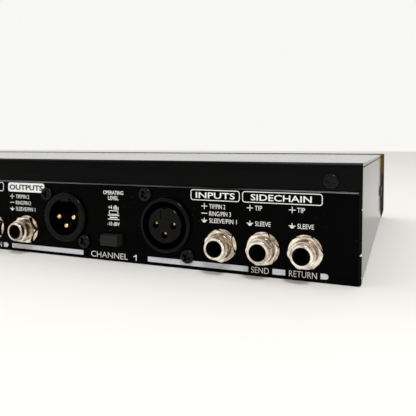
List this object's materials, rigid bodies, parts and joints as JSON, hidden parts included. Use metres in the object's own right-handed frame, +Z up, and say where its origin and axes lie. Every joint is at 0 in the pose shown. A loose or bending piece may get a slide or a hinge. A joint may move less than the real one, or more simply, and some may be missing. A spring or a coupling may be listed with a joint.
{
  "type": "rack compressor",
  "caption": "Low wide rack audio compressor: folded black steel case, knobs and meters in front, phone jacks, round three-pin sockets and mains inlet behind.",
  "frame": {"origin": "bottom centre of the bounding box", "axes": "+Z up, -Y out of the front panel, +Y out of the rear panel, +X to the right seen from the front"},
  "size_m": [0.4428, 0.2014, 0.044],
  "materials": {
    "chassis_black": "gloss black powder coat",
    "zinc_steel": "zinc plated",
    "fascia_dark": "satin dark grey paint",
    "fascia_bronze": "bronze anodised",
    "black_screw": "black oxide, worn",
    "smoked_window": "smoked acrylic",
    "led_lens": "diffused lens",
    "circuit_board": "green solder mask",
    "knob_black": "satin moulded",
    "button_grey": "satin moulded",
    "component_black": "moulded",
    "switch_black": "polished moulding",
    "nickel": "bright nickel",
    "contact_brass": "plain",
    "contact_gold": "gold plated",
    "connector_black": "satin moulded",
    "inlet_black": "moulded",
    "inlet_blade": "nickel plated",
    "fuse_glass": "clear tube",
    "capacitor_sleeve": "shrink sleeve",
    "heatsink_black": "black anodised",
    "core_steel": "varnished laminations",
    "coil_tape": "insulating tape",
    "ribbon_grey": "flat cable"
  },
  "bodies": {
    "casing": {"board_screws": "zinc_steel", "board_standoffs": "zinc_steel", "casing_screws": "black_screw", "chassis_tray": "chassis_black", "connector_screws": "black_screw", "fascia_lower_panel": "fascia_dark", "fascia_upper_trim": "fascia_bronze", "filter_capacitors": "capacitor_sleeve", "front_board": "circuit_board", "front_subpanel": "zinc_steel", "front_switch_bodies": "component_black", "fuse_holder": "inlet_black", "inlet_body": "inlet_black", "inlet_pins": "inlet_blade", "integrated_circuits": "component_black", "jack_bodies": "component_black", "jack_bushings": "nickel", "jack_contacts": "contact_brass", "jack_nuts": "nickel", "jack_washers": "nickel", "level_switch_bodies": "component_black", "main_board": "circuit_board", "meter_leds": "led_lens", "meter_windows": "smoked_window", "potentiometers": "component_black", "power_switch_body": "switch_black", "rear_panel": "chassis_black", "regulator_heatsink": "heatsink_black", "retaining_nuts": "zinc_steel", "ribbon_cable": "ribbon_grey", "top_cover": "chassis_black", "transformer_bracket": "zinc_steel", "transformer_coil": "coil_tape", "transformer_core": "core_steel", "voltage_regulators": "component_black", "xlr_female_contacts": "contact_brass", "xlr_female_inserts": "connector_black", "xlr_female_shells": "connector_black", "xlr_male_pins": "contact_gold", "xlr_male_shells": "connector_black"},
    "threshold_knob_1": {"threshold_knob_1": "knob_black"},
    "ratio_knob_1": {"ratio_knob_1": "knob_black"},
    "attack_knob_1": {"attack_knob_1": "knob_black"},
    "release_knob_1": {"release_knob_1": "knob_black"},
    "gain_knob_1": {"gain_knob_1": "knob_black"},
    "threshold_knob_2": {"threshold_knob_2": "knob_black"},
    "ratio_knob_2": {"ratio_knob_2": "knob_black"},
    "attack_knob_2": {"attack_knob_2": "knob_black"},
    "release_knob_2": {"release_knob_2": "knob_black"},
    "gain_knob_2": {"gain_knob_2": "knob_black"},
    "sidechain_button_1": {"sidechain_button_1": "button_grey"},
    "bypass_button_1": {"bypass_button_1": "button_grey"},
    "sidechain_button_2": {"sidechain_button_2": "button_grey"},
    "bypass_button_2": {"bypass_button_2": "button_grey"},
    "stereo_link_button": {"stereo_link_button": "button_grey"},
    "level_button_1": {"level_button_1": "button_grey"},
    "level_button_2": {"level_button_2": "button_grey"},
    "power_rocker": {"power_rocker": "switch_black"},
    "fuse_cap": {"fuse_cap": "inlet_black", "fuse": "fuse_glass"}
  },
  "joints": [
    {"name": "threshold_turn_1", "type": "hinge", "parent": "casing", "child": "threshold_knob_1", "pos_m": [-0.187, -0.08675, 0.015], "axis": [0, 1, 0], "range_deg": [-150, 150]},
    {"name": "ratio_turn_1", "type": "hinge", "parent": "casing", "child": "ratio_knob_1", "pos_m": [-0.157, -0.08675, 0.015], "axis": [0, 1, 0], "range_deg": [-150, 150]},
    {"name": "attack_turn_1", "type": "hinge", "parent": "casing", "child": "attack_knob_1", "pos_m": [-0.127, -0.08675, 0.015], "axis": [0, 1, 0], "range_deg": [-150, 150]},
    {"name": "release_turn_1", "type": "hinge", "parent": "casing", "child": "release_knob_1", "pos_m": [-0.097, -0.08675, 0.015], "axis": [0, 1, 0], "range_deg": [-150, 150]},
    {"name": "gain_turn_1", "type": "hinge", "parent": "casing", "child": "gain_knob_1", "pos_m": [-0.067, -0.08675, 0.015], "axis": [0, 1, 0], "range_deg": [-150, 150]},
    {"name": "threshold_turn_2", "type": "hinge", "parent": "casing", "child": "threshold_knob_2", "pos_m": [0.009, -0.08675, 0.015], "axis": [0, 1, 0], "range_deg": [-150, 150]},
    {"name": "ratio_turn_2", "type": "hinge", "parent": "casing", "child": "ratio_knob_2", "pos_m": [0.039, -0.08675, 0.015], "axis": [0, 1, 0], "range_deg": [-150, 150]},
    {"name": "attack_turn_2", "type": "hinge", "parent": "casing", "child": "attack_knob_2", "pos_m": [0.069, -0.08675, 0.015], "axis": [0, 1, 0], "range_deg": [-150, 150]},
    {"name": "release_turn_2", "type": "hinge", "parent": "casing", "child": "release_knob_2", "pos_m": [0.099, -0.08675, 0.015], "axis": [0, 1, 0], "range_deg": [-150, 150]},
    {"name": "gain_turn_2", "type": "hinge", "parent": "casing", "child": "gain_knob_2", "pos_m": [0.129, -0.08675, 0.015], "axis": [0, 1, 0], "range_deg": [-150, 150]},
    {"name": "sidechain_press_1", "type": "slide", "parent": "casing", "child": "sidechain_button_1", "axis": [0, 1, 0], "range_m": [0, 0.002], "stiffness_N_per_m": 250},
    {"name": "bypass_press_1", "type": "slide", "parent": "casing", "child": "bypass_button_1", "axis": [0, 1, 0], "range_m": [0, 0.002], "stiffness_N_per_m": 250},
    {"name": "sidechain_press_2", "type": "slide", "parent": "casing", "child": "sidechain_button_2", "axis": [0, 1, 0], "range_m": [0, 0.002], "stiffness_N_per_m": 250},
    {"name": "bypass_press_2", "type": "slide", "parent": "casing", "child": "bypass_button_2", "axis": [0, 1, 0], "range_m": [0, 0.002], "stiffness_N_per_m": 250},
    {"name": "stereo_link_press", "type": "slide", "parent": "casing", "child": "stereo_link_button", "axis": [0, 1, 0], "range_m": [0, 0.002], "stiffness_N_per_m": 250},
    {"name": "level_press_1", "type": "slide", "parent": "casing", "child": "level_button_1", "axis": [0, -1, 0], "range_m": [0, 0.0025], "stiffness_N_per_m": 250},
    {"name": "level_press_2", "type": "slide", "parent": "casing", "child": "level_button_2", "axis": [0, -1, 0], "range_m": [0, 0.0025], "stiffness_N_per_m": 250},
    {"name": "power_tilt", "type": "hinge", "parent": "casing", "child": "power_rocker", "pos_m": [0.198, -0.08175, 0.015], "axis": [-1, 0, 0], "range_deg": [0, 20]},
    {"name": "fuse_twist", "type": "hinge", "parent": "casing", "child": "fuse_cap", "pos_m": [0.116, 0.09425, 0.0174], "axis": [0, -1, 0], "range_deg": [0, 45]}
  ]
}
